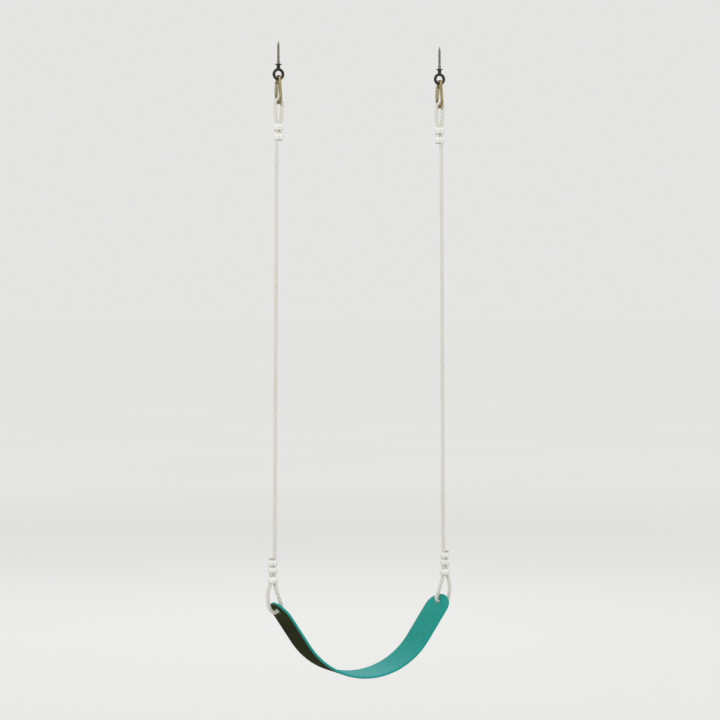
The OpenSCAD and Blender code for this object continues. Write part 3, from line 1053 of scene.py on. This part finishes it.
def long_rows(belt, upper):
    """The grid over the bend: one row of points for each station along the belt."""
    rows = []
    for s in CELL * np.arange(-LONG_CELLS, LONG_CELLS + 1):
        row = []
        for i, (gap, top, below) in enumerate(EDGE_LAYERS[:-1]):
            row.append(belt.point(s, gap - BELT_W / 2, top if upper else below,
                                  0.0 if upper else under_share(i)))
        row += [belt.face_point(s, v, upper) for v in across_points()]
        for i, (gap, top, below) in reversed(list(enumerate(EDGE_LAYERS[:-1]))):
            row.append(belt.point(s, BELT_W / 2 - gap, top if upper else below,
                                  0.0 if upper else under_share(i)))
        rows.append(row)
    return rows


def end_rows(belt, side, upper):
    """The rim layers round the tip, and the rings from the rim to the hole."""
    def place(u):
        return side * (BEND_S + u)

    rim = []
    for i, (gap, top, below) in enumerate(EDGE_LAYERS[:-1]):
        half = end_outline(gap)
        outline = half + [(u, -v) for u, v in reversed(half[:-1])]
        rim.append([belt.point(place(u), v, top if upper else below,
                               0.0 if upper else under_share(i)) for u, v in outline])
    half = end_outline(FACE_EDGE)
    loop = half + [(u, -v) for u, v in reversed(half[:-1])]
    loop += [(CUT_U, v) for v in across_points()[1:-1]]
    centre = np.array([STRAIGHT_L, 0.0])
    rays = np.array(loop) - centre
    away = np.linalg.norm(rays, axis=1)
    rays /= away[:, None]
    rings = []
    for i, (gap, top, below) in enumerate(HOLE_LAYERS):
        ring = []
        for u, v in centre + rays * (BELT_HOLE_R + gap):
            ring.append(belt.point(place(u), v, top if upper else below,
                                   0.0 if upper else under_share(i)))
        rings.append(ring)
    start = BELT_HOLE_R + HOLE_LAYERS[-1][0]
    for share in np.arange(1, RING_STEPS + 1) / RING_STEPS:
        reach = start + (away - start) * share**1.15
        rings.append([belt.face_point(place(u), v, upper)
                      for u, v in centre + rays * reach[:, None]])
    rim.append(rings[-1][:len(rim[0])])
    closed = [ring + ring[:1] for ring in rings]
    return rim, closed


def make_belt(name, rubber, underside):
    belt = FlatBelt()
    top, below = long_rows(belt, True), long_rows(belt, False)
    belt.strip(top)
    belt.strip(below, flip=True)
    for k in (0, -1):
        belt.strip([[row[k] for row in top], [row[k] for row in below]], flip=k == 0)
    for side in (-1, 1):
        rim_top, rings_top = end_rows(belt, side, True)
        rim_below, rings_below = end_rows(belt, side, False)
        belt.strip(rim_top, flip=side > 0)
        belt.strip(rim_below, flip=side < 0)
        belt.strip([rim_top[0], rim_below[0]], flip=side < 0)
        belt.strip(rings_top, flip=side < 0)
        belt.strip(rings_below, flip=side > 0)
        belt.strip([rings_top[0], rings_below[0]], flip=side > 0)
    verts = [bent(s, v, h) for s, v, h, _, _ in belt.points]
    piece = make_mesh(
        name, verts, belt.faces, rubber,
        uv=[(s, v) for s, v, _, _, _ in belt.points],
        values={"under": [p[3] for p in belt.points], "hollow": [p[4] for p in belt.points]})
    mesh = piece.data
    mesh.materials.append(underside)
    under = np.zeros(len(mesh.vertices), np.float32)
    mesh.attributes["under"].data.foreach_get("value", under)
    for polygon in mesh.polygons:
        polygon.material_index = int(min(under[v] for v in polygon.vertices) > 0.99)
    return piece


# ---------------------------------------------------------------- making everything

def finish_piece(piece, body, slot, *nodes):
    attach(piece, body)
    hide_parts(*nodes)
    return piece


add_camera()
paints = {
    "rope": rope_fibre(),
    "plastic": clamp_plastic(),
    "dark": dark_steel(),
    "thread": thread_steel(),
    "hook": passivated_zinc("hook_zinc", (0.19, 0.155, 0.065), (0.39, 0.33, 0.17), (0.34, 0.21, 0.14)),
    "gate": passivated_zinc("gate_zinc", (0.34, 0.30, 0.17), (0.58, 0.53, 0.34), (0.36, 0.38, 0.24)),
    "rivet": passivated_zinc("rivet_zinc", (0.42, 0.40, 0.33), (0.62, 0.59, 0.48), (0.5, 0.44, 0.36)),
    "spring": passivated_zinc("spring_steel", (0.34, 0.34, 0.34), (0.6, 0.6, 0.6), (0.4, 0.38, 0.36)),
}

for label, side in SIDES.items():
    rope, path = make_rope(label + "_rope_laid", side, paints["rope"])
    finish_piece(rope, label + "_rope", "rope", label + "_rope")
    for node in ("top_clamp_upper", "top_clamp_lower", "seat_clamp_upper", "seat_clamp_lower"):
        piece = make_clamp(f"{label}_{node}_moulded", f"{label}_{node}", paints["plastic"])
        finish_piece(piece, label + "_rope", "clamp_plastic", f"{label}_{node}")
    bead = make_bead(label + "_seat_bead_moulded", label + "_seat_bead", paints["plastic"])
    finish_piece(bead, label + "_rope", "clamp_plastic", label + "_seat_bead")

for label, side in SIDES.items():
    x = side * HALF_SPACING
    eye = make_eye(label + "_eye_forged", x, paints["dark"])
    finish_piece(eye, "hangers", "dark_steel", label + "_screw_eye")
    thread = make_thread(label + "_eye_thread", x, paints["thread"])
    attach(thread, "hangers")
    hook = make_hook(label + "_hook_wire", x, paints["hook"])
    finish_piece(hook, label + "_hook", "zinc_steel", label + "_snap_hook")
    gate = make_gate(label + "_gate_channel", x, paints["gate"])
    finish_piece(gate, label + "_gate", "zinc_steel", label + "_gate")
    rivet = make_rivet(label + "_rivet_headed", x, paints["rivet"])
    finish_piece(rivet, label + "_hook", "rivet_steel", label + "_gate_rivet")
    spring = make_spring(label + "_spring_coil", x, paints["spring"])
    finish_piece(spring, label + "_gate", "spring_steel", label + "_gate_spring")

seat = make_belt("belt_moulded", belt_rubber(), belt_underside())
finish_piece(seat, "belt", "belt_rubber", "belt")

add_lights()
add_floor()
bpy.context.scene.view_settings.view_transform = "Standard"
